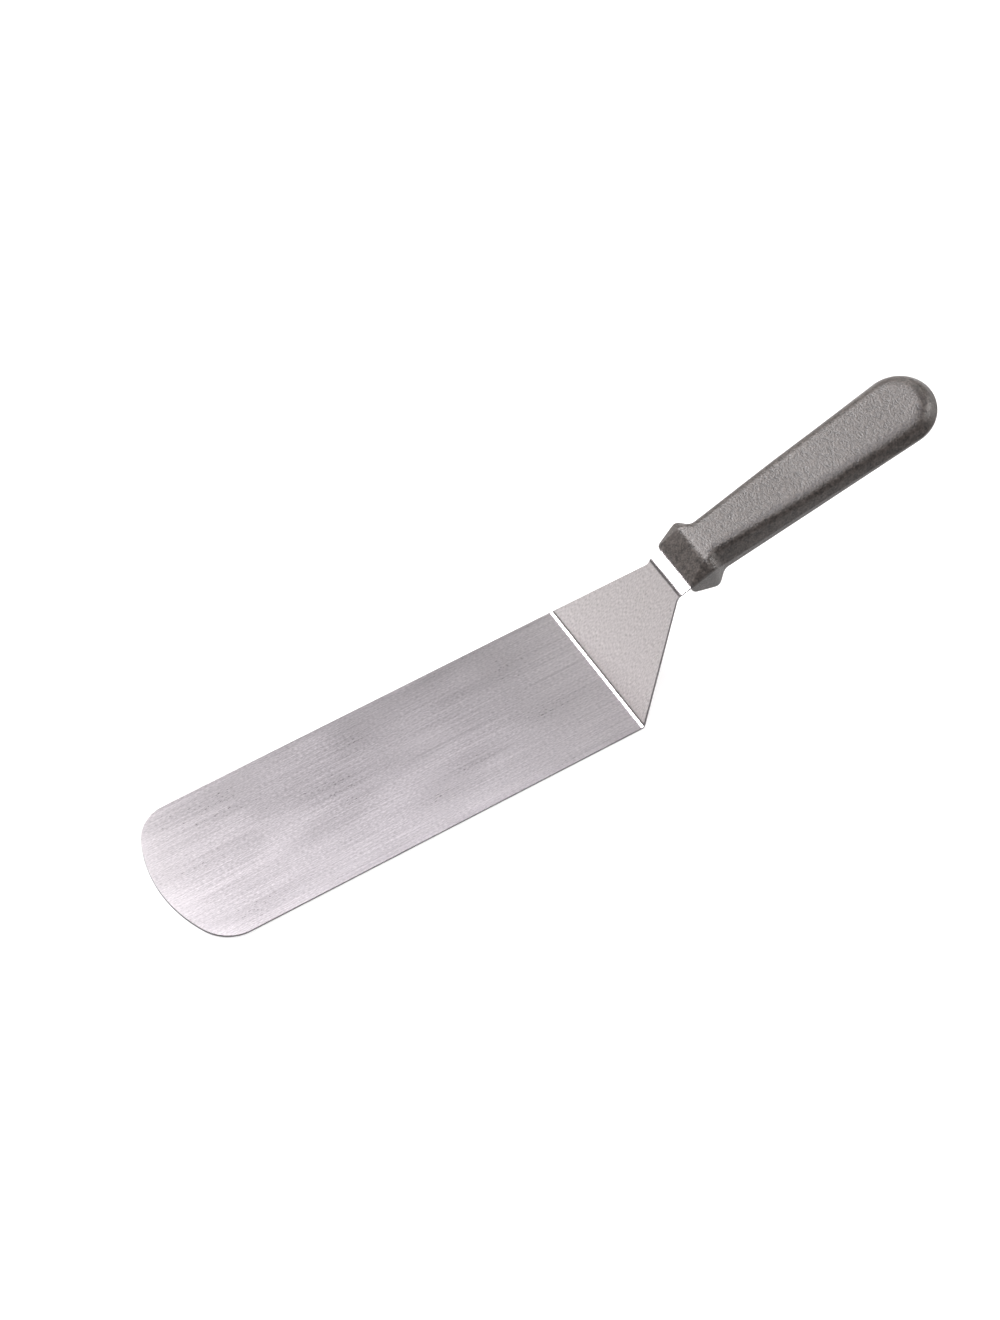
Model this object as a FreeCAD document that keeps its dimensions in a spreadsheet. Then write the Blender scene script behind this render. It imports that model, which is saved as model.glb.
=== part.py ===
import FreeCAD, Part
import math
import os
import Sketcher

# Offset spatula: one bent stainless sheet, and a handle moulded round its tang.
# The flat blade lies on z = 0, with the origin in the middle of its underside.
# x runs from the round tip to the butt of the handle, y goes across, and the
# object is the same on both sides of y = 0. Lengths are in millimetres and
# angles in degrees.

DIMENSIONS = [
    # the sheet
    ("blade_length", 230.0),       # round tip to the first bend
    ("blade_width", 75.0),
    ("sheet_thickness", 1.2),
    ("tip_bow", 60.0),             # radius of the shallow front arc
    ("tip_corner", 19.5),          # radius of the two tip corners
    ("crank_length", 58.0),        # first bend to second bend, on the upper face
    ("crank_angle", 55.3),         # above the blade
    ("heel_bend_inside", 2.8),     # inside radius of the bend at the blade
    ("neck_bend_inside", 4.2),     # inside radius of the bend at the neck
    ("waist_width", 23.0),         # narrowest place of the crank
    ("waist_drop", 3.3),           # second bend down to the waist
    ("waist_round", 4.2),          # fillet radius in the waist
    ("neck_width", 24.0),
    ("neck_length", 5.4),          # second bend to the handle
    # the tang inside the handle
    ("tang_length", 98.0),
    ("tang_shoulder", 8.0),        # length at the neck's width
    ("tang_step", 5.0),            # length over which it narrows
    ("tang_body_width", 17.0),
    ("tang_end_width", 14.0),
    ("lock_hole", 6.0),            # diameter
    ("lock_first", 32.0),          # handle's front to the first lock hole
    ("lock_pitch", 26.0),
    # the handle, along its own axis
    ("handle_angle", 17.7),        # above the blade
    ("handle_length", 141.7),
    ("handle_rise", 0.8),          # handle's middle above the tang's middle
    ("front_half_width", 13.8),
    ("front_half_height", 3.3),
    ("front_bevel", 1.0),
    ("ridge_place", 11.0),         # front to the guard's ridge
    ("ridge_land", 1.5),           # flat crest of the ridge
    ("ridge_half_top", 10.3),
    ("ridge_half_height", 10.9),
    ("lug_half_width", 15.6),
    ("lug_half_height", 7.8),
    ("grip_place", 17.7),          # front to the narrow start of the grip
    ("grip_half_top", 8.4),
    ("grip_half_base", 7.6),       # the underside is narrower than the top
    ("grip_half_height", 10.8),
    ("grip_half_width", 13.2),
    ("grip_side", 1.8),            # half height of the grip's upright side
    ("middle_place", 65.0),        # front to the middle section of the grip
    ("middle_half_top", 12.4),
    ("middle_half_base", 10.9),
    ("middle_half_height", 8.3),
    ("middle_half_width", 15.4),
    ("middle_side", 1.4),
    ("butt_half_top", 14.0),
    ("butt_half_base", 12.4),
    ("butt_half_height", 7.3),
    ("butt_half_width", 18.1),
    ("butt_side", 0.8),
]

TRIM = 1.0          # how far a trimming outline runs past the edge that it trims
CUT = 20.0          # depth of a trimming cut, half of it on each side
LEAST_CUT = 1.0     # a pocket that removes less than this, in mm3, has missed
SAME = 0.01         # two points closer than this are the same point
LOCK_HOLES = 3
CORNER_REACH = 0.8  # an edge this share of the thickness from a corner belongs to it
HALF_TURN = 180.0
ANY_ANGLE = 10.0    # stands in until the expression sets the angle
ANY_LENGTH = 1.0    # stands in until the expression sets the length


def add_sheet(doc):
    """Put the driving dimensions in a spreadsheet, one aliased cell each."""
    sheet = doc.addObject("Spreadsheet::Sheet", "dims")
    for row, (name, value) in enumerate(DIMENSIONS, start=1):
        sheet.set("A%d" % row, name)
        sheet.set("B%d" % row, str(value))
        sheet.setAlias("B%d" % row, name)
    return sheet


def add_body(doc, name):
    """A body whose label is the name of its file."""
    body = doc.addObject("PartDesign::Body", name)
    body.Label = name
    return body


def turned_about(axis):
    """A placement turned about an axis, by an angle that an expression sets later."""
    return FreeCAD.Placement(FreeCAD.Vector(), FreeCAD.Rotation(axis, ANY_ANGLE))


def add_sketch(body, name, role, turn_axis=None):
    """A sketch on the body's own origin plane, ready to be turned about an axis."""
    sketch = body.newObject("Sketcher::SketchObject", name)
    plane = next(f for f in body.Origin.OriginFeatures if f.Role == role)
    sketch.AttachmentSupport = [(plane, "")]
    sketch.MapMode = "FlatFace"
    if turn_axis:
        sketch.AttachmentOffset = turned_about(turn_axis)
    return sketch


def bind(thing, expressions):
    """Bind several properties of one object to expressions on the sheet."""
    for path, expression in expressions.items():
        thing.setExpression(path, expression)


def pin(sketch, geometry, end, x, y):
    """Fix one point of a sketch at two expressions, measured from its origin."""
    for kind, expression in (("DistanceX", x), ("DistanceY", y)):
        constraint = Sketcher.Constraint(kind, -1, 1, geometry, end, ANY_LENGTH)
        index = sketch.addConstraint(constraint)
        sketch.setExpression("Constraints[%d]" % index, expression)


def draw_polygon(sketch, corners):
    """Draw a closed polygon whose corners are pairs of expressions.

    Its lines start round a circle, and the constraints take them to their places.
    """
    count = len(corners)
    step = 2.0 * math.pi / count
    spots = [FreeCAD.Vector(math.cos(i * step), math.sin(i * step), 0) for i in range(count)]
    first = sketch.GeometryCount
    for i in range(count):
        sketch.addGeometry(Part.LineSegment(spots[i], spots[(i + 1) % count]), False)
    for i in range(count):
        following = first + (i + 1) % count
        sketch.addConstraint(Sketcher.Constraint("Coincident", first + i, 2, following, 1))
    for i, (x, y) in enumerate(corners):
        pin(sketch, first + i, 1, x, y)


def both_sides(corners):
    """The same corners on the +y side and mirrored on the -y side."""
    return corners, [(x, "-(%s)" % y) for x, y in corners]


def add_pocket(body, name, sketch, midplane=True, reverse=False, depth=None):
    """Cut a sketch through the body and make sure that something was removed."""
    doc = body.Document
    doc.recompute()
    before = body.Shape.Volume
    pocket = body.newObject("PartDesign::Pocket", name)
    pocket.Profile = sketch
    pocket.Midplane = midplane
    pocket.Reversed = reverse
    pocket.Length = CUT
    if depth:
        pocket.setExpression("Length", depth)
    doc.recompute()
    if not pocket.Shape.Volume < before - LEAST_CUT:
        raise ValueError(name + " removes nothing")
    return pocket


def edges_where(shape, test):
    """Names of the straight edges whose two end points pass a test."""
    names = []
    for index, edge in enumerate(shape.Edges, start=1):
        ends = [vertex.Point for vertex in edge.Vertexes]
        if len(ends) == 2 and test(ends[0], ends[1]):
            names.append("Edge%d" % index)
    return names


# ---------------------------------------------------------------- the sheet

# both ends of the flat blade
TIP_X = "-dims.blade_length / 2"
HEEL_X = "dims.blade_length / 2"
# the second bend on the sheet's upper face
BEND_X = HEEL_X + " + dims.crank_length * cos(dims.crank_angle)"
BEND_Z = "dims.sheet_thickness + dims.crank_length * sin(dims.crank_angle)"
# handle's front to the place where the tang has narrowed
NARROW = "dims.tang_shoulder + dims.tang_step"


def along_tang(distance, depth):
    """x and z of a place along the tang from the second bend, below its upper face."""
    x = "%s + (%s) * cos(dims.handle_angle) + (%s) * sin(dims.handle_angle)"
    z = "%s + (%s) * sin(dims.handle_angle) - (%s) * cos(dims.handle_angle)"
    return x % (BEND_X, distance, depth), z % (BEND_Z, distance, depth)


def add_folded_strip(body):
    """The sheet seen from the side, padded to the full width of the blade."""
    sketch = add_sketch(body, "side_view", "XZ_Plane")
    miter = "dims.sheet_thickness / (1 + cos(dims.crank_angle - dims.handle_angle))"
    draw_polygon(sketch, [
        (TIP_X, "0"),
        (HEEL_X + " + dims.sheet_thickness * tan(dims.crank_angle / 2)", "0"),
        ("%s + %s * (sin(dims.crank_angle) + sin(dims.handle_angle))" % (BEND_X, miter),
         "%s - %s * (cos(dims.crank_angle) + cos(dims.handle_angle))" % (BEND_Z, miter)),
        along_tang("dims.neck_length + dims.tang_length", "dims.sheet_thickness"),
        along_tang("dims.neck_length + dims.tang_length", "0"),
        (BEND_X, BEND_Z),
        (HEEL_X, "dims.sheet_thickness"),
        (TIP_X, "dims.sheet_thickness"),
    ])
    pad = body.newObject("PartDesign::Pad", "folded_strip")
    pad.Profile = sketch
    pad.Midplane = True
    pad.setExpression("Length", "dims.blade_width")
    body.Document.recompute()
    return pad


def add_bends(body, sheet):
    """Round both bends, the inside radius on one face and the outside on the other.

    The two edges of a bend are one sheet thickness apart, so an edge belongs to a
    corner when it is nearer than that.
    """
    near = CORNER_REACH * sheet.sheet_thickness
    lean = math.radians(sheet.crank_angle)
    heel = sheet.blade_length / 2
    reach = heel + sheet.crank_length * math.cos(lean)
    lift = sheet.crank_length * math.sin(lean)
    corners = [
        (heel, sheet.sheet_thickness, "dims.heel_bend_inside"),
        (heel, 0.0, "dims.heel_bend_inside + dims.sheet_thickness"),
        (reach, lift, "dims.neck_bend_inside"),
        (reach, lift + sheet.sheet_thickness,
         "dims.neck_bend_inside + dims.sheet_thickness"),
    ]
    for number, (x, z, radius) in enumerate(corners, start=1):
        def across(one, two):
            level = abs(one.x - two.x) < SAME and abs(one.z - two.z) < SAME
            wide = abs(one.y - two.y) > sheet.blade_width / 2
            return level and wide and math.hypot(one.x - x, one.z - z) < near
        base = body.Tip
        names = edges_where(base.Shape, across)
        fillet = body.newObject("PartDesign::Fillet", "bend_%d" % number)
        fillet.Base = (base, names)
        fillet.setExpression("Radius", radius)
        body.Document.recompute()


def add_tip(body, sheet):
    """Cut the front to a shallow arc, then round the two corners.

    The arc and the three lines that close it start near their places.
    """
    sketch = add_sketch(body, "tip_view", "XY_Plane")
    edge = "dims.blade_width / 2 + %g" % TRIM
    tip = -sheet.blade_length / 2
    half = sheet.blade_width / 2 + TRIM
    bow = sheet.tip_bow
    spread = math.asin(half / bow)
    circle = Part.Circle(FreeCAD.Vector(tip + bow, 0, 0), FreeCAD.Vector(0, 0, 1), bow)
    arc = Part.ArcOfCircle(circle, math.pi - spread, math.pi + spread)
    arc = sketch.addGeometry(arc, False)
    pin(sketch, arc, 3, TIP_X + " + dims.tip_bow", "0")
    radius = sketch.addConstraint(Sketcher.Constraint("Radius", arc, bow))
    sketch.setExpression("Constraints[%d]" % radius, "dims.tip_bow")
    back = tip + bow * (1 - math.cos(spread))
    ends = [FreeCAD.Vector(back, half, 0), FreeCAD.Vector(tip - TRIM, half, 0),
            FreeCAD.Vector(tip - TRIM, -half, 0), FreeCAD.Vector(back, -half, 0)]
    lines = [sketch.addGeometry(Part.LineSegment(ends[i], ends[i + 1]), False) for i in range(3)]
    links = [(arc, 1, lines[0], 1), (lines[0], 2, lines[1], 1),
             (lines[1], 2, lines[2], 1), (lines[2], 2, arc, 2)]
    for link in links:
        sketch.addConstraint(Sketcher.Constraint("Coincident", *link))
    for line in (lines[0], lines[2]):
        sketch.addConstraint(Sketcher.Constraint("Horizontal", line))
    ahead = "%s - %g" % (TIP_X, TRIM)
    pin(sketch, lines[1], 1, ahead, edge)
    pin(sketch, lines[1], 2, ahead, "-(%s)" % edge)
    add_pocket(body, "tip_cut", sketch)

    def tip_corner(one, two):
        upright = abs(one.x - two.x) < SAME and abs(one.y - two.y) < SAME
        return upright and one.x < -sheet.blade_length / 4
    base = body.Tip
    fillet = body.newObject("PartDesign::Fillet", "tip_corners")
    fillet.Base = (base, edges_where(base.Shape, tip_corner))
    fillet.setExpression("Radius", "dims.tip_corner")
    body.Document.recompute()


def add_crank_sides(body, sheet):
    """Taper the crank from the blade's width to a waist just below the neck."""
    sketch = add_sketch(body, "crank_view", "XY_Plane", FreeCAD.Vector(0, -1, 0))
    bind(sketch, {
        "AttachmentOffset.Base.x": HEEL_X,
        "AttachmentOffset.Base.z": "dims.sheet_thickness",
        "AttachmentOffset.Rotation.Angle": "dims.crank_angle",
    })
    edge = "dims.blade_width / 2 + %g" % TRIM
    past = "dims.crank_length + dims.neck_length"
    for side in both_sides([
            ("0", "dims.blade_width / 2"),
            ("dims.crank_length - dims.waist_drop", "dims.waist_width / 2"),
            ("dims.crank_length", "dims.neck_width / 2"),
            (past, "dims.neck_width / 2"),
            (past, edge),
            ("0", edge)]):
        draw_polygon(sketch, side)
    add_pocket(body, "crank_cut", sketch)
    add_waist_rounding(body, sheet)


def add_waist_rounding(body, sheet):
    """Round the corner on each side of the waist, through the sheet's thickness."""
    place = sheet.crank_length - sheet.waist_drop
    lean = math.radians(sheet.crank_angle)
    x = sheet.blade_length / 2 + place * math.cos(lean)
    z = sheet.sheet_thickness + place * math.sin(lean)

    def at_waist(one, two):
        through = abs(one.distanceToPoint(two) - sheet.sheet_thickness) < SAME
        return through and min(math.hypot(end.x - x, end.z - z) for end in (one, two)) < SAME
    base = body.Tip
    fillet = body.newObject("PartDesign::Fillet", "waist_rounding")
    fillet.Base = (base, edges_where(base.Shape, at_waist))
    fillet.setExpression("Radius", "dims.waist_round")
    body.Document.recompute()


def add_tang_sides(body, sheet):
    """Trim the neck and the tang, and drill the holes that lock the plastic."""
    view = {
        "AttachmentOffset.Base.x": BEND_X,
        "AttachmentOffset.Base.z": BEND_Z,
        "AttachmentOffset.Rotation.Angle": "dims.handle_angle",
    }
    sketch = add_sketch(body, "tang_view", "XY_Plane", FreeCAD.Vector(0, -1, 0))
    bind(sketch, view)
    edge = "dims.blade_width / 2 + %g" % TRIM
    end = "dims.neck_length + dims.tang_length"
    for side in both_sides([
            ("dims.neck_length / 2", "dims.neck_width / 2"),
            ("dims.neck_length + dims.tang_shoulder", "dims.neck_width / 2"),
            ("dims.neck_length + " + NARROW, "dims.tang_body_width / 2"),
            (end, "dims.tang_end_width / 2"),
            (end + " + %g" % TRIM, "dims.tang_end_width / 2"),
            (end + " + %g" % TRIM, edge),
            ("dims.neck_length / 2", edge)]):
        draw_polygon(sketch, side)
    add_pocket(body, "tang_cut", sketch)
    holes = add_sketch(body, "lock_holes_view", "XY_Plane", FreeCAD.Vector(0, -1, 0))
    bind(holes, view)
    draw_lock_holes(holes, sheet, "dims.neck_length + ")
    add_pocket(body, "lock_holes", holes)


def draw_lock_holes(sketch, sheet, offset=""):
    """A row of circles along the tang."""
    across = sheet.lock_hole
    for number in range(LOCK_HOLES):
        place = "%sdims.lock_first + %d * dims.lock_pitch" % (offset, number)
        centre = FreeCAD.Vector(sheet.lock_first + number * sheet.lock_pitch, 0, 0)
        circle = Part.Circle(centre, FreeCAD.Vector(0, 0, 1), across / 2)
        index = sketch.addGeometry(circle, False)
        pin(sketch, index, 3, place, "0")
        size = sketch.addConstraint(Sketcher.Constraint("Diameter", index, across))
        sketch.setExpression("Constraints[%d]" % size, "dims.lock_hole")


def make_blade(doc, sheet):
    """The whole metal piece: blade, crank, neck and tang."""
    body = add_body(doc, "blade_and_tang")
    add_folded_strip(body)
    add_bends(body, sheet)
    add_tip(body, sheet)
    add_crank_sides(body, sheet)
    add_tang_sides(body, sheet)
    return body


# --------------------------------------------------------------- the handle

# front to the grip's widest place, where the round of the butt starts
BUTT_PLACE = "dims.handle_length - dims.butt_half_width"


def draw_section(body, name, place, half_top, half_height, half_width, side, half_base=None):
    """An eight-sided section across the handle, as wide below as above unless told."""
    half_base = half_base or half_top
    sketch = add_sketch(body, name, "YZ_Plane")
    sketch.setExpression("AttachmentOffset.Base.z", place)
    draw_polygon(sketch, [
        (half_top, half_height),
        ("-(%s)" % half_top, half_height),
        ("-(%s)" % half_width, side),
        ("-(%s)" % half_width, "-(%s)" % side),
        ("-(%s)" % half_base, "-(%s)" % half_height),
        (half_base, "-(%s)" % half_height),
        (half_width, "-(%s)" % side),
        (half_width, side),
    ])
    return sketch


def add_handle_block(body):
    """Guard and grip in one ruled loft, from the front to the butt."""
    front_top = "dims.front_half_width - dims.front_bevel"
    front_side = "dims.front_half_height - dims.front_bevel"
    ridge = ("dims.ridge_half_top", "dims.ridge_half_height",
             "dims.lug_half_width", "dims.lug_half_height")
    sections = [
        draw_section(body, "front", "0", front_top, "dims.front_half_height",
                     "dims.front_half_width", front_side),
        draw_section(body, "ridge_start", "dims.ridge_place", *ridge),
        draw_section(body, "ridge_end", "dims.ridge_place + dims.ridge_land", *ridge),
        draw_section(body, "grip_start", "dims.grip_place", "dims.grip_half_top",
                     "dims.grip_half_height", "dims.grip_half_width", "dims.grip_side",
                     "dims.grip_half_base"),
        draw_section(body, "grip_middle", "dims.middle_place", "dims.middle_half_top",
                     "dims.middle_half_height", "dims.middle_half_width", "dims.middle_side",
                     "dims.middle_half_base"),
        draw_section(body, "grip_widest", BUTT_PLACE, "dims.butt_half_top",
                     "dims.butt_half_height", "dims.butt_half_width", "dims.butt_side",
                     "dims.butt_half_base"),
    ]
    loft = body.newObject("PartDesign::AdditiveLoft", "guard_and_grip")
    loft.Profile = sections[0]
    loft.Sections = sections[1:]
    loft.Ruled = True
    body.Document.recompute()


def add_butt(body):
    """The grip's widest section turned half round an upright axis."""
    sketch = add_sketch(body, "butt_half", "YZ_Plane")
    sketch.setExpression("AttachmentOffset.Base.z", BUTT_PLACE)
    draw_polygon(sketch, [
        ("0", "-dims.butt_half_height"),
        ("dims.butt_half_base", "-dims.butt_half_height"),
        ("dims.butt_half_width", "-dims.butt_side"),
        ("dims.butt_half_width", "dims.butt_side"),
        ("dims.butt_half_top", "dims.butt_half_height"),
        ("0", "dims.butt_half_height"),
    ])
    turned = body.newObject("PartDesign::Revolution", "butt")
    turned.Profile = sketch
    turned.ReferenceAxis = (sketch, ["V_Axis"])
    turned.Angle = HALF_TURN
    turned.Reversed = True
    body.Document.recompute()


def add_tang_slot(body, sheet):
    """The space that the tang fills; the plastic goes through its lock holes."""
    sketch = add_sketch(body, "slot_view", "XY_Plane")
    sketch.setExpression("AttachmentOffset.Base.z",
                         "-dims.handle_rise - dims.sheet_thickness / 2")
    draw_polygon(sketch, [
        ("0", "dims.neck_width / 2"),
        ("dims.tang_shoulder", "dims.neck_width / 2"),
        (NARROW, "dims.tang_body_width / 2"),
        ("dims.tang_length", "dims.tang_end_width / 2"),
        ("dims.tang_length", "-dims.tang_end_width / 2"),
        (NARROW, "-dims.tang_body_width / 2"),
        ("dims.tang_shoulder", "-dims.neck_width / 2"),
        ("0", "-dims.neck_width / 2"),
    ])
    draw_lock_holes(sketch, sheet)
    add_pocket(body, "tang_slot", sketch, False, True, "dims.sheet_thickness")


def make_handle(doc, sheet):
    """The moulded handle, along its own x axis, turned and lifted into place."""
    body = add_body(doc, "handle")
    add_handle_block(body)
    add_butt(body)
    add_tang_slot(body, sheet)
    x, z = along_tang("dims.neck_length", "dims.sheet_thickness / 2 - dims.handle_rise")
    body.Placement = turned_about(FreeCAD.Vector(0, -1, 0))
    bind(body, {"Placement.Base.x": x, "Placement.Base.z": z,
                "Placement.Rotation.Angle": "dims.handle_angle"})
    doc.recompute()
    return body


# ------------------------------------------------------------------- output

def check(doc, bodies):
    """Stop if any object failed or any sub-part isn't one valid solid."""
    for thing in doc.Objects:
        if "Invalid" in thing.State or "Error" in thing.State:
            raise ValueError("%s did not recompute" % thing.Name)
    for body in bodies:
        shape = body.Shape
        if shape.isNull() or not shape.isValid() or len(shape.Solids) != 1:
            raise ValueError("%s is not one valid solid" % body.Label)
        box = shape.BoundBox
        print("%-16s %9.1f mm3  x %.1f..%.1f  y %.1f..%.1f  z %.1f..%.1f" % (
            body.Label, shape.Volume, box.XMin, box.XMax, box.YMin, box.YMax, box.ZMin, box.ZMax))


def main():
    doc = FreeCAD.newDocument("offset_spatula")
    sheet = add_sheet(doc)
    doc.recompute()
    bodies = [make_blade(doc, sheet), make_handle(doc, sheet)]
    doc.recompute()
    check(doc, bodies)
    os.makedirs("parts", exist_ok=True)
    for body in bodies:
        body.Shape.exportStep("parts/%s.step" % body.Label)


main()
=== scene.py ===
import math

import bmesh
import bpy
from mathutils import Matrix, Vector


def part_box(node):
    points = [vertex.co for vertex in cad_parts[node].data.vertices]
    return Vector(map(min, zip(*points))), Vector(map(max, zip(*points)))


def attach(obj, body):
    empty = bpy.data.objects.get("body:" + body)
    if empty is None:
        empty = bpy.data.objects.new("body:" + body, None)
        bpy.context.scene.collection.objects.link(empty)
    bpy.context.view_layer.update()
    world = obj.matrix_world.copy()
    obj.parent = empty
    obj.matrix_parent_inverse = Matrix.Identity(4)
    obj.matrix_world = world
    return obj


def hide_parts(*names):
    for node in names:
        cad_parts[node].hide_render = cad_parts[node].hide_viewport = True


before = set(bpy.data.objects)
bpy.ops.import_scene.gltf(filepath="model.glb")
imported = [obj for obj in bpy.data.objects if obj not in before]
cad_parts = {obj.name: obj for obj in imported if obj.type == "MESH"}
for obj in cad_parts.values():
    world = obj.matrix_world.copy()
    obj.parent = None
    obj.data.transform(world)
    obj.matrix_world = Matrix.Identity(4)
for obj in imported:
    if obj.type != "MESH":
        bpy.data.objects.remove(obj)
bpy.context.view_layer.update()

MM = 0.001

# The sheet, in millimetres: the flat blade, the crank, the neck and the tang.
# The blade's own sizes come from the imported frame.
SHEET_LOW, SHEET_HIGH = (Vector(corner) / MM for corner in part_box("blade_and_tang"))
BLADE_LENGTH = -2 * SHEET_LOW.x
BLADE_WIDTH = SHEET_HIGH.y - SHEET_LOW.y
THICKNESS = 1.2
TIP_BOW = 60.0
TIP_CORNER = 19.5
CRANK = 58.0
CRANK_ANGLE = math.radians(55.3)
HEEL_BEND_INSIDE = 2.8
NECK_BEND_INSIDE = 4.2
WAIST_WIDTH = 23.0
WAIST_DROP = 3.3
WAIST_ROUND = 4.2
NECK_WIDTH = 24.0
NECK = 5.4
TANG = 98.0
TANG_SHOULDER = 8.0
TANG_STEP = 5.0
TANG_BODY_WIDTH = 17.0
TANG_END_WIDTH = 14.0
EDGE_ROUND = 0.2
EDGE_SEGMENTS = 3
BOW_STEPS = 28
TIP_CORNER_STEPS = 20
WAIST_STEPS = 6
BEND_STEPS = 12
# Faces whose normal's height is between these, before bending, are the cut edges and their rounding,
# mostly its lower side; the material paints them dark as painted shade.
EDGE_SHADE_LOWEST, EDGE_SHADE_HIGHEST = -0.95, 0.3

# Two heights or widths closer than this, in millimetres, are the same.
SAME = 0.001
# Neighbouring faces that meet at more than this keep a sharp edge between them.
SHARP_ANGLE = math.radians(40)

# The handle, in millimetres along its own axis: place, half width of the flat
# top, half height, half width, half height of the upright side, half width of
# the flat underside, and the radii of the corners beside the top and at the side.
HANDLE_ANGLE = math.radians(17.7)
HANDLE = 141.7
HANDLE_RISE = 0.8
BUTT_RADIUS = 18.1
BUTT_START = HANDLE - BUTT_RADIUS
GRIP_KEYS = [
    (0.0, 12.8, 3.3, 13.8, 2.3, 12.8, 1.0, 1.0),
    (11.0, 10.3, 10.9, 15.6, 7.8, 10.3, 2.6, 2.2),
    (12.5, 10.3, 10.9, 15.6, 7.8, 10.3, 2.6, 2.2),
    (17.7, 8.4, 10.8, 13.2, 1.8, 7.6, 5.0, 1.4),
    (65.0, 12.4, 8.3, 15.4, 1.4, 10.9, 6.5, 1.8),
    (BUTT_START, 14.0, 7.3, BUTT_RADIUS, 0.8, 12.4, 7.5, 2.0),
]
RIDGE_SOFTNESS = 1.5
RIDGE_SAMPLES = 4       # on each side of a place
FRONT_ROUND = 1.0
FRONT_STEPS = 4
LEAST_SIDE = 0.2
SIDE_ROUND_LIMIT = 1.5  # the side's corner radius for each unit of its half height
SECTION_STEPS = 6
FLAT_SHARES = (0, 0.3, 0.6)
# Sections are close together along the guard and further apart along the grip.
GUARD_STEP, GUARD_STEPS = 0.45, 45
GRIP_START, GRIP_STEP = 21, 4
LEAST_GAP = 1
BUTT_STEPS = 40


# ------------------------------------------------------------- small helpers

def finish_mesh(bm, name, material):
    """Turn a bmesh in millimetres into an object that rides on the root body."""
    bmesh.ops.scale(bm, vec=(MM, MM, MM), verts=bm.verts)
    bmesh.ops.recalc_face_normals(bm, faces=bm.faces)
    mesh = bpy.data.meshes.new(name)
    bm.to_mesh(mesh)
    bm.free()
    mesh.materials.append(material)
    piece = bpy.data.objects.new(name, mesh)
    bpy.context.scene.collection.objects.link(piece)
    mesh.shade_smooth()
    mesh.set_sharp_from_angle(angle=SHARP_ANGLE)
    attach(piece, "root")
    return piece


def arc(centre, radius, start, end, steps):
    """Points on an arc, both ends included, angles in radians."""
    points = []
    for i in range(steps + 1):
        angle = start + (end - start) * i / steps
        points.append((centre[0] + radius * math.cos(angle), centre[1] + radius * math.sin(angle)))
    return points


def round_corner(before, corner, after, radius, steps):
    """The arc that rounds one corner of an outline, as points in order."""
    corner = Vector(corner)
    way_in = (Vector(before) - corner).normalized()
    way_out = (Vector(after) - corner).normalized()
    half = way_in.angle(way_out) / 2
    bisector = (way_in + way_out).normalized()
    centre = corner + bisector * (radius / math.sin(half))
    setback = radius / math.tan(half)
    first = corner + way_in * setback - centre
    last = corner + way_out * setback - centre
    turn = first.angle_signed(last)
    points = []
    for i in range(steps + 1):
        points.append(tuple(centre + Matrix.Rotation(-turn * i / steps, 2) @ first))
    return points


# ------------------------------------------------------------ the bent sheet

class Fold:
    """The line of the sheet's middle surface: straight runs joined by two bends."""

    def __init__(self):
        second = CRANK_ANGLE - HANDLE_ANGLE
        heel = HEEL_BEND_INSIDE + THICKNESS / 2
        neck = NECK_BEND_INSIDE + THICKNESS / 2
        inside_setback = HEEL_BEND_INSIDE * math.tan(CRANK_ANGLE / 2)
        outside_setback = (NECK_BEND_INSIDE + THICKNESS) * math.tan(second / 2)
        self.runs = [
            (BLADE_LENGTH - inside_setback, 0.0, heel),
            (heel * CRANK_ANGLE, CRANK_ANGLE, heel),
            (CRANK - inside_setback - outside_setback, 0.0, heel),
            (neck * second, -second, neck),
            (NECK + TANG - outside_setback, 0.0, neck),
        ]
        lengths = [run[0] for run in self.runs]
        self.starts = [sum(lengths[:i]) for i in range(len(lengths) + 1)]
        self.crank_zero = self.starts[2] - inside_setback
        self.tang_zero = self.starts[4] - outside_setback

    def place(self, distance, across, height):
        """Where a point of the flat sheet lands once the sheet is bent."""
        x, z, heading = -BLADE_LENGTH / 2, THICKNESS / 2, 0.0
        for index, (length, turn, radius) in enumerate(self.runs):
            last = index == len(self.runs) - 1
            part = distance if last else min(distance, length)
            if turn:
                swing = turn * part / length
                chord = 2 * radius * math.sin(abs(swing) / 2)
                x += chord * math.cos(heading + swing / 2)
                z += chord * math.sin(heading + swing / 2)
                heading += swing
            else:
                x += part * math.cos(heading)
                z += part * math.sin(heading)
            distance -= part
            if distance <= 0:
                break
        return Vector((x - height * math.sin(heading), across, z + height * math.cos(heading)))


def sheet_outline(fold):
    """Half of the flat sheet's outline, from the middle of the tip to the tang's end."""
    half = BLADE_WIDTH / 2
    inner = TIP_BOW - TIP_CORNER
    corner_y = half - TIP_CORNER
    corner_x = TIP_BOW - math.sqrt(inner ** 2 - corner_y ** 2)
    meet = math.atan2(corner_y, TIP_BOW - corner_x)
    bow = arc((TIP_BOW, 0), TIP_BOW, math.pi, math.pi - meet, BOW_STEPS)
    corner = arc((corner_x, corner_y), TIP_CORNER, math.pi - meet, math.pi / 2, TIP_CORNER_STEPS)
    heel = (fold.starts[1] + fold.starts[2]) / 2
    waist = fold.crank_zero + CRANK - WAIST_DROP
    tang = fold.tang_zero + NECK
    corners = [
        (heel, half),
        (waist, WAIST_WIDTH / 2),
        (fold.crank_zero + CRANK, NECK_WIDTH / 2),
        (tang + TANG_SHOULDER, NECK_WIDTH / 2),
        (tang + TANG_SHOULDER + TANG_STEP, TANG_BODY_WIDTH / 2),
        (tang + TANG, TANG_END_WIDTH / 2),
    ]
    waist_arc = round_corner(corners[0], corners[1], corners[2], WAIST_ROUND, WAIST_STEPS)
    return bow + corner[1:] + corners[:1] + waist_arc + corners[2:]


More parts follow.
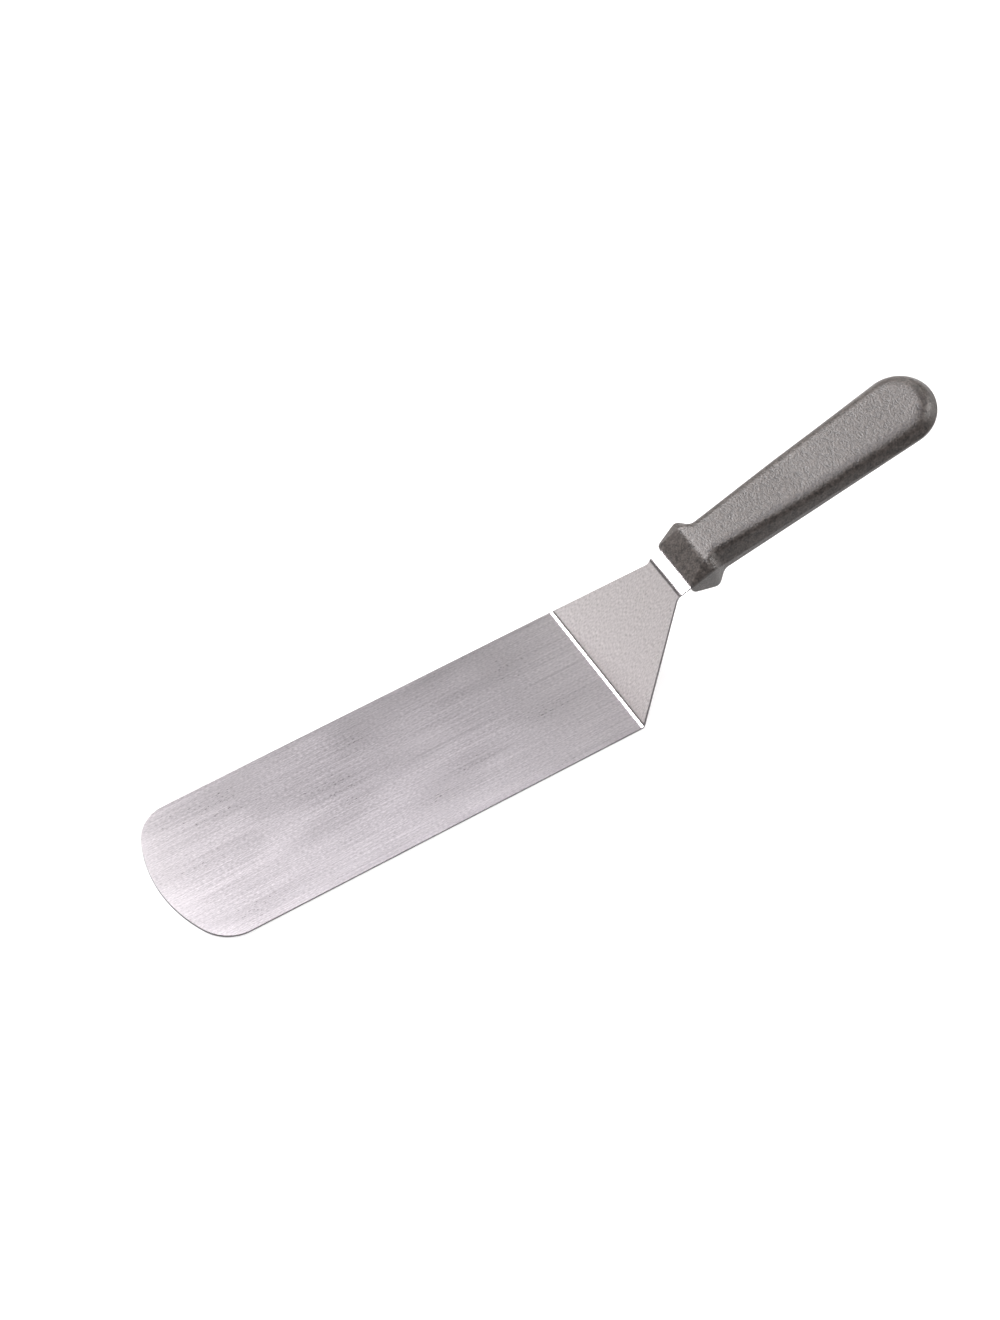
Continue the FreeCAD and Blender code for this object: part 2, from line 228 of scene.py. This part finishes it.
def mark_painted_edge_shade(bm):
    """Note the faces of the sheet's cut edge and its lower rounding, which the material paints dark:
    painted shade for the sheet's thickness in shadow, on sheared steel that is itself only a little
    duller.
    """
    edge_shade = bm.faces.layers.float.new("painted_edge_shade")
    bm.normal_update()
    for face in bm.faces:
        face[edge_shade] = 1.0 if EDGE_SHADE_LOWEST < face.normal.z < EDGE_SHADE_HIGHEST else 0.0


def make_sheet(material):
    """Cut the outline from flat sheet, round its rim, then bend it."""
    fold = Fold()
    side = sheet_outline(fold)
    outline = side + [(x, -y) for x, y in reversed(side) if y > SAME]
    bm = bmesh.new()
    low = [bm.verts.new((x, y, -THICKNESS / 2)) for x, y in outline]
    high = [bm.verts.new((x, y, THICKNESS / 2)) for x, y in outline]
    bm.faces.new(list(reversed(low)))
    bm.faces.new(high)
    count = len(outline)
    for i in range(count):
        after = (i + 1) % count
        bm.faces.new((low[i], low[after], high[after], high[i]))
    rim = [e for e in bm.edges if abs(e.verts[0].co.z - e.verts[1].co.z) < SAME]
    bmesh.ops.bevel(bm, geom=rim, offset=EDGE_ROUND, segments=EDGE_SEGMENTS, profile=0.5,
                    affect="EDGES")
    cuts = []
    for bend in (1, 3):
        start, end = fold.starts[bend], fold.starts[bend + 1]
        cuts += [start + (end - start) * i / BEND_STEPS for i in range(BEND_STEPS + 1)]
    for place in cuts:
        everything = bm.verts[:] + bm.edges[:] + bm.faces[:]
        bmesh.ops.bisect_plane(bm, geom=everything, plane_co=(place, 0, 0), plane_no=(1, 0, 0))
    # Mark the edge faces that the material paints with shade.
    mark_painted_edge_shade(bm)
    flat = bm.loops.layers.uv.new("flat")
    for face in bm.faces:
        for loop in face.loops:
            loop[flat].uv = (loop.vert.co.x * MM, loop.vert.co.y * MM)
    for vert in bm.verts:
        vert.co = fold.place(vert.co.x, vert.co.y, vert.co.z)
    piece = finish_mesh(bm, "steel_sheet", material)
    weighted = piece.modifiers.new("even_shading", "WEIGHTED_NORMAL")
    weighted.keep_sharp = True
    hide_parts("blade_and_tang")


# -------------------------------------------------------- the moulded handle

def key_at(place):
    """The section's sizes at a place along the handle, straight between keys."""
    place = min(max(place, GRIP_KEYS[0][0]), GRIP_KEYS[-1][0])
    for one, two in zip(GRIP_KEYS, GRIP_KEYS[1:]):
        if place <= two[0]:
            share = (place - one[0]) / (two[0] - one[0])
            return [p + (q - p) * share for p, q in zip(one[1:], two[1:])]


def soft_key_at(place):
    """The same with the ridges across the handle softened."""
    reach = min(RIDGE_SOFTNESS, place)
    samples = [key_at(place + reach * step / RIDGE_SAMPLES)
               for step in range(-RIDGE_SAMPLES, RIDGE_SAMPLES + 1)]
    return [sum(values) / len(values) for values in zip(*samples)]


def half_section(sizes, inset=0.0):
    """One side of a section, from the top's middle down to the bottom's middle."""
    top, height, width, side, base, top_round, side_round = sizes
    height -= inset
    width -= inset
    top -= inset / 2
    base -= inset / 2
    side = max(side - inset / 2, LEAST_SIDE)
    corners = [(0, height), (top, height), (width, side),
               (width, -side), (base, -height), (0, -height)]
    points = [(top * share, height) for share in FLAT_SHARES]
    side_round = min(side_round, side * SIDE_ROUND_LIMIT)
    for index, radius in ((1, top_round), (2, side_round), (3, side_round), (4, top_round)):
        points += round_corner(corners[index - 1], corners[index], corners[index + 1], radius,
                               SECTION_STEPS)
    points += [(base * share, -height) for share in reversed(FLAT_SHARES)]
    return points


def make_handle(material):
    """Loft the sections along the grip and turn the last one round the butt."""
    bm = bmesh.new()
    stations = [FRONT_ROUND + GUARD_STEP * i for i in range(GUARD_STEPS)]
    grip_steps = int((BUTT_START - GRIP_START) / GRIP_STEP) + 1
    stations += [GRIP_START + GRIP_STEP * i for i in range(grip_steps)]
    stations = [s for s in stations if s < BUTT_START - LEAST_GAP] + [BUTT_START]
    rings = []
    for i in range(FRONT_STEPS):
        angle = math.pi / 2 * i / FRONT_STEPS
        inset = FRONT_ROUND * (1 - math.sin(angle))
        rings.append((FRONT_ROUND * (1 - math.cos(angle)), half_section(soft_key_at(0.0), inset)))
    rings += [(s, half_section(soft_key_at(s))) for s in stations]
    loops = []
    for place, half in rings:
        loop = [bm.verts.new((place, y, z)) for y, z in half]
        loop += [bm.verts.new((place, -y, z)) for y, z in reversed(half[1:-1])]
        loops.append(loop)
    for one, two in zip(loops, loops[1:]):
        count = len(one)
        for i in range(count):
            after = (i + 1) % count
            bm.faces.new((one[i], one[after], two[after], two[i]))
    bm.faces.new(loops[0])
    add_butt(bm, loops[-1], rings[-1][1])
    place_handle(bm)
    piece = finish_mesh(bm, "moulded_handle", material)
    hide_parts("handle")


def add_butt(bm, ring, half):
    """Half a turn of the last section about the upright axis through its middle."""
    count = len(half)
    columns = [ring[:count]]
    for step in range(1, BUTT_STEPS):
        angle = math.pi * step / BUTT_STEPS
        inner = [bm.verts.new((BUTT_START + y * math.sin(angle), y * math.cos(angle), z))
                 for y, z in half[1:-1]]
        columns.append([ring[0]] + inner + [ring[count - 1]])
    far = [ring[0]] + list(reversed(ring[count:])) + [ring[count - 1]]
    columns.append(far)
    for one, two in zip(columns, columns[1:]):
        for i in range(count - 1):
            corners = [one[i], one[i + 1], two[i + 1], two[i]]
            bm.faces.new(list(dict.fromkeys(corners)))


def place_handle(bm):
    """Turn the handle up from the blade and put its front on the neck."""
    turn = Matrix.Rotation(-HANDLE_ANGLE, 4, "Y")
    along = Vector((math.cos(HANDLE_ANGLE), 0, math.sin(HANDLE_ANGLE)))
    upward = Vector((-math.sin(HANDLE_ANGLE), 0, math.cos(HANDLE_ANGLE)))
    bend = Vector((BLADE_LENGTH / 2 + CRANK * math.cos(CRANK_ANGLE), 0,
                   THICKNESS + CRANK * math.sin(CRANK_ANGLE)))
    front = bend + along * NECK + upward * (HANDLE_RISE - THICKNESS / 2)
    for vert in bm.verts:
        vert.co = turn @ vert.co + front


# ----------------------------------------------------------------- materials

STEEL_DARK = (0.450, 0.430, 0.447, 1)
STEEL_PALE = (0.830, 0.798, 0.815, 1)
# A dark painted shade for the cut edges and their lower rounding, where the sheet's thickness lies in
# shadow; sheared steel is only partly this dark.
STEEL_EDGE_SHADE = (0.130, 0.125, 0.130, 1)
# Noise scales along and across the sheet, per metre.
STEEL_GRAIN = (650.0, 2300.0, 1.0)
STEEL_STREAKS = (16.0, 1900.0, 1.0)
STEEL_CLOUDS = (24.0, 60.0, 1.0)
STEEL_RIPPLE = (20.0, 450.0, 1.0)
# The streaks' share in the brushing, on the blade and past its heel.
BLADE_STREAKS, CRANK_STREAKS = 0.42, 0.1
STREAK_FADE = 0.004
GRAIN_ROUGH = (0.25, 0.35)
CLOUD_ROUGH = (0.27, 0.33)
CLOUD_SHARE = 0.5
BRUSHING = 0.7
BRUSHING_TURN = 0.25
RIPPLE_STRENGTH, RIPPLE_HEIGHT = 0.3, 0.000004
# Most of a noise lies between these two.
NOISE_LOW, NOISE_HIGH = 0.3, 0.7
PLASTIC_DARK = (0.006, 0.005, 0.0045, 1)
PLASTIC_PALE = (0.052, 0.043, 0.038, 1)
PLASTIC_SHINE = 0.58
PLASTIC_ROUGH = (0.36, 0.46)
PLASTIC_GRAIN = (1100.0, 1100.0, 1100.0)
PLASTIC_MOTTLE = (420.0, 420.0, 420.0)
MOTTLE_SHARE = 0.35
PITS_LOW, PITS_HIGH = 0.35, 0.65
PIT_STRENGTH, PIT_DEPTH = 0.8, 0.00045
FLOOR_TONE = 0.45
FLOOR_GLOW = 0.45
FLOOR_ROUGHNESS = 0.9
FLOOR_REACH = 4.0
# The table is just under the blade, so that the two faces don't coincide.
FLOOR_GAP = 0.0003


class Nodes:
    """A short way to build one material's node tree."""

    def __init__(self, name):
        self.material = bpy.data.materials.new(name)
        self.material.use_nodes = True
        self.tree = self.material.node_tree
        self.shader = self.tree.nodes["Principled BSDF"]

    def add(self, kind, settings=None, **inputs):
        node = self.tree.nodes.new(kind)
        for key, value in (settings or {}).items():
            setattr(node, key, value)
        for key, value in inputs.items():
            self.feed(node, key.replace("_", " "), value)
        return node

    def feed(self, node, socket, value):
        if isinstance(value, bpy.types.NodeSocket):
            self.tree.links.new(value, node.inputs[socket])
        else:
            node.inputs[socket].default_value = value

    def noise(self, place, scale, detail):
        """Noise with its own scale along each axis, from 0 to 1."""
        stretched = self.add("ShaderNodeMapping", Vector=place, Scale=scale).outputs["Vector"]
        return self.add("ShaderNodeTexNoise", Vector=stretched, Scale=1.0, Detail=detail).outputs["Fac"]

    def mix_values(self, one, two, share):
        node = self.tree.nodes.new("ShaderNodeMix")
        self.feed(node, 0, share)
        self.tree.links.new(one, node.inputs[2])
        self.tree.links.new(two, node.inputs[3])
        return node.outputs[0]

    def mix_colours(self, share, one, two):
        node = self.tree.nodes.new("ShaderNodeMix")
        node.data_type = "RGBA"
        self.tree.links.new(share, node.inputs[0])
        for socket, colour in ((node.inputs[6], one), (node.inputs[7], two)):
            if isinstance(colour, bpy.types.NodeSocket):
                self.tree.links.new(colour, socket)
            else:
                socket.default_value = colour
        return node.outputs[2]

    def ramp(self, value, low, high, out_low, out_high):
        node = self.tree.nodes.new("ShaderNodeMapRange")
        self.tree.links.new(value, node.inputs["Value"])
        for socket, number in (("From Min", low), ("From Max", high),
                               ("To Min", out_low), ("To Max", out_high)):
            node.inputs[socket].default_value = number
        return node.outputs["Result"]


def steel():
    """Satin stainless: fine grain, long streaks on the blade, faint clouds, and painted shade on the
    cut edges.
    """
    n = Nodes("steel")
    flat = n.add("ShaderNodeUVMap", {"uv_map": "flat"}).outputs["UV"]
    grain = n.noise(flat, STEEL_GRAIN, 2.0)
    streaks = n.noise(flat, STEEL_STREAKS, 2.0)
    clouds = n.noise(flat, STEEL_CLOUDS, 2.0)
    along = n.add("ShaderNodeSeparateXYZ", Vector=flat).outputs["X"]
    heel = BLADE_LENGTH * MM
    streakiness = n.ramp(along, heel, heel + STREAK_FADE, BLADE_STREAKS, CRANK_STREAKS)
    lines = n.mix_values(grain, streaks, streakiness)
    tone = n.ramp(lines, NOISE_LOW, NOISE_HIGH, 0.0, 1.0)
    brushed = n.mix_colours(tone, STEEL_DARK, STEEL_PALE)
    # The cut edges and their lower rounding take the dark painted shade colour.
    edge_shade = n.add("ShaderNodeAttribute", {"attribute_name": "painted_edge_shade"}).outputs["Fac"]
    n.feed(n.shader, "Base Color", n.mix_colours(edge_shade, brushed, STEEL_EDGE_SHADE))
    fine = n.ramp(lines, NOISE_LOW, NOISE_HIGH, *GRAIN_ROUGH)
    broad = n.ramp(clouds, NOISE_LOW, NOISE_HIGH, *CLOUD_ROUGH)
    n.feed(n.shader, "Roughness", n.mix_values(fine, broad, CLOUD_SHARE))
    n.feed(n.shader, "Metallic", 1.0)
    n.feed(n.shader, "Anisotropic", BRUSHING)
    n.feed(n.shader, "Anisotropic Rotation", BRUSHING_TURN)
    tangent = n.add("ShaderNodeTangent", {"direction_type": "UV_MAP", "uv_map": "flat"})
    n.feed(n.shader, "Tangent", tangent.outputs["Tangent"])
    ripple = n.noise(flat, STEEL_RIPPLE, 0.0)
    bump = n.add("ShaderNodeBump", Height=ripple, Strength=RIPPLE_STRENGTH,
                 Distance=RIPPLE_HEIGHT)
    n.feed(n.shader, "Normal", bump.outputs["Normal"])
    return n.material


def plastic():
    """Dark moulded plastic with a fine eroded grain."""
    n = Nodes("handle_plastic")
    place = n.add("ShaderNodeTexCoord").outputs["Object"]
    grain = n.noise(place, PLASTIC_GRAIN, 3.0)
    mottle = n.noise(place, PLASTIC_MOTTLE, 2.0)
    pits = n.mix_values(grain, mottle, MOTTLE_SHARE)
    shade = n.ramp(pits, PITS_LOW, PITS_HIGH, 0.0, 1.0)
    n.feed(n.shader, "Base Color", n.mix_colours(shade, PLASTIC_DARK, PLASTIC_PALE))
    n.feed(n.shader, "Roughness", n.ramp(mottle, NOISE_LOW, NOISE_HIGH, *PLASTIC_ROUGH))
    n.feed(n.shader, "Specular IOR Level", PLASTIC_SHINE)
    bump = n.add("ShaderNodeBump", Height=pits, Strength=PIT_STRENGTH, Distance=PIT_DEPTH)
    n.feed(n.shader, "Normal", bump.outputs["Normal"])
    return n.material


def floor_material():
    """A pale table, lit a little from within."""
    n = Nodes("floor")
    n.feed(n.shader, "Base Color", (FLOOR_TONE, FLOOR_TONE, FLOOR_TONE, 1))
    n.feed(n.shader, "Roughness", FLOOR_ROUGHNESS)
    n.feed(n.shader, "Specular IOR Level", 0.0)
    n.feed(n.shader, "Emission Color", (1, 1, 1, 1))
    n.feed(n.shader, "Emission Strength", FLOOR_GLOW)
    return n.material


# --------------------------------------------------------------- the studio

VIEW_TARGET = Vector((0.0804, 0.0275, 0.0))
VIEW_DISTANCE = 1.953
VIEW_YAW = math.radians(52.17)
VIEW_PITCH = math.radians(54.44)
VIEW_ROLL = math.radians(5.57)
FOCAL_IN_HEIGHTS = 3.2575758
SENSOR_HEIGHT = 36.0


def add_camera():
    """Look down over the near side of the blade, through a long lens."""
    level = Vector((math.cos(VIEW_YAW), math.sin(VIEW_YAW), 0))
    ahead = level * math.cos(VIEW_PITCH) - Vector((0, 0, math.sin(VIEW_PITCH)))
    right = ahead.cross(Vector((0, 0, 1))).normalized()
    up = right.cross(ahead)
    right, up = (right * math.cos(VIEW_ROLL) + up * math.sin(VIEW_ROLL),
                 up * math.cos(VIEW_ROLL) - right * math.sin(VIEW_ROLL))
    data = bpy.data.cameras.new("camera")
    data.sensor_fit = "VERTICAL"
    data.sensor_height = SENSOR_HEIGHT
    data.lens = data.sensor_height * FOCAL_IN_HEIGHTS
    camera = bpy.data.objects.new("camera", data)
    turn = Matrix((right, up, -ahead)).transposed().to_4x4()
    camera.matrix_world = Matrix.Translation(VIEW_TARGET - ahead * VIEW_DISTANCE) @ turn
    bpy.context.scene.collection.objects.link(camera)
    bpy.context.scene.camera = camera


# The soft lights: where they stand and what they face, how large they are, how
# bright, and their tint. All lengths are in metres. The key light is the large
# softbox behind the far edge of the blade; the near one is small and bright.
OBJECT_MIDDLE = Vector((0.08, 0.0, 0.03))
TOP_HEIGHT = 0.6
AROUND = 0.04
HORIZON = 1.4
HORIZON_DEPTH = 0.12
HORIZON_TURN = math.radians(150)
WORLD_TINT = (1.0, 0.96, 0.92, 1)


def towards(turn, height, distance):
    """A place seen from the object, from its turn from +x and its height in degrees."""
    level = math.cos(math.radians(height))
    across = math.radians(turn)
    way = Vector((math.cos(across) * level, math.sin(across) * level,
                  math.sin(math.radians(height))))
    return OBJECT_MIDDLE + way * distance


LIGHTS = [
    ("far_softbox", towards(112, 48, 1.8), OBJECT_MIDDLE, (1.0, 1.2), 18.3, (1.0, 0.97, 0.97)),
    ("top_softbox", Vector((0.07, -0.04, TOP_HEIGHT)), Vector((0.07, -0.04, 0.0)), (0.48, 0.28),
     5.5, (1.0, 0.97, 1.02)),
    ("right_softbox", towards(45, 30, 1.5), OBJECT_MIDDLE, (0.7, 0.6), 4.5, (1.0, 0.98, 0.96)),
    ("butt_softbox", towards(345, 28, 1.5), OBJECT_MIDDLE, (0.6, 0.6), 13.0, (1.0, 0.97, 0.95)),
    ("near_softbox", towards(243, 66, 1.3), OBJECT_MIDDLE, (0.22, 0.22), 32.0, (1.0, 0.98, 0.96)),
]


def add_area(name, place, aim, size, brightness, tint):
    """A soft rectangular light, as bright all over as its brightness says."""
    data = bpy.data.lights.new(name, "AREA")
    data.shape = "RECTANGLE"
    data.size, data.size_y = size
    data.energy = math.pi * size[0] * size[1] * brightness
    data.color = tint
    light = bpy.data.objects.new(name, data)
    light.location = place
    light.rotation_euler = (aim - light.location).to_track_quat("-Z", "Y").to_euler()
    light.visible_camera = False
    bpy.context.scene.collection.objects.link(light)


def add_world():
    """Dim surroundings with a pale band along the horizon, past the tip."""
    world = bpy.data.worlds.new("studio")
    world.use_nodes = True
    tree = world.node_tree
    background = tree.nodes["Background"]

    def math_node(operation, *values):
        node = tree.nodes.new("ShaderNodeMath")
        node.operation = operation
        for socket, value in zip(node.inputs, values):
            if isinstance(value, bpy.types.NodeSocket):
                tree.links.new(value, socket)
            else:
                socket.default_value = value
        return node.outputs[0]

    way = tree.nodes.new("ShaderNodeTexCoord").outputs["Generated"]
    split = tree.nodes.new("ShaderNodeSeparateXYZ")
    tree.links.new(way, split.inputs[0])
    rise = math_node("POWER", math_node("DIVIDE", split.outputs["Z"], HORIZON_DEPTH), 2.0)
    band = math_node("EXPONENT", math_node("MULTIPLY", rise, -1.0))
    behind = math_node("MULTIPLY", split.outputs["Y"], math.sin(HORIZON_TURN))
    facing = math_node("MULTIPLY_ADD", split.outputs["X"], math.cos(HORIZON_TURN), behind)
    wide = math_node("POWER", math_node("MAXIMUM", facing, 0.0), 2.0)
    band = math_node("MULTIPLY", band, wide)
    strength = math_node("MULTIPLY_ADD", band, HORIZON, AROUND)
    tree.links.new(strength, background.inputs["Strength"])
    background.inputs["Color"].default_value = WORLD_TINT
    bpy.context.scene.world = world


def add_studio():
    """The table, the surroundings and the lights."""
    bm = bmesh.new()
    bmesh.ops.create_grid(bm, x_segments=1, y_segments=1, size=FLOOR_REACH)
    mesh = bpy.data.meshes.new("floor")
    bm.to_mesh(mesh)
    bm.free()
    mesh.materials.append(floor_material())
    floor = bpy.data.objects.new("floor", mesh)
    floor.location.z = -FLOOR_GAP
    bpy.context.scene.collection.objects.link(floor)
    add_world()
    for light in LIGHTS:
        add_area(*light)
    bpy.context.scene.view_settings.view_transform = "Standard"


make_sheet(steel())
make_handle(plastic())
add_studio()
add_camera()
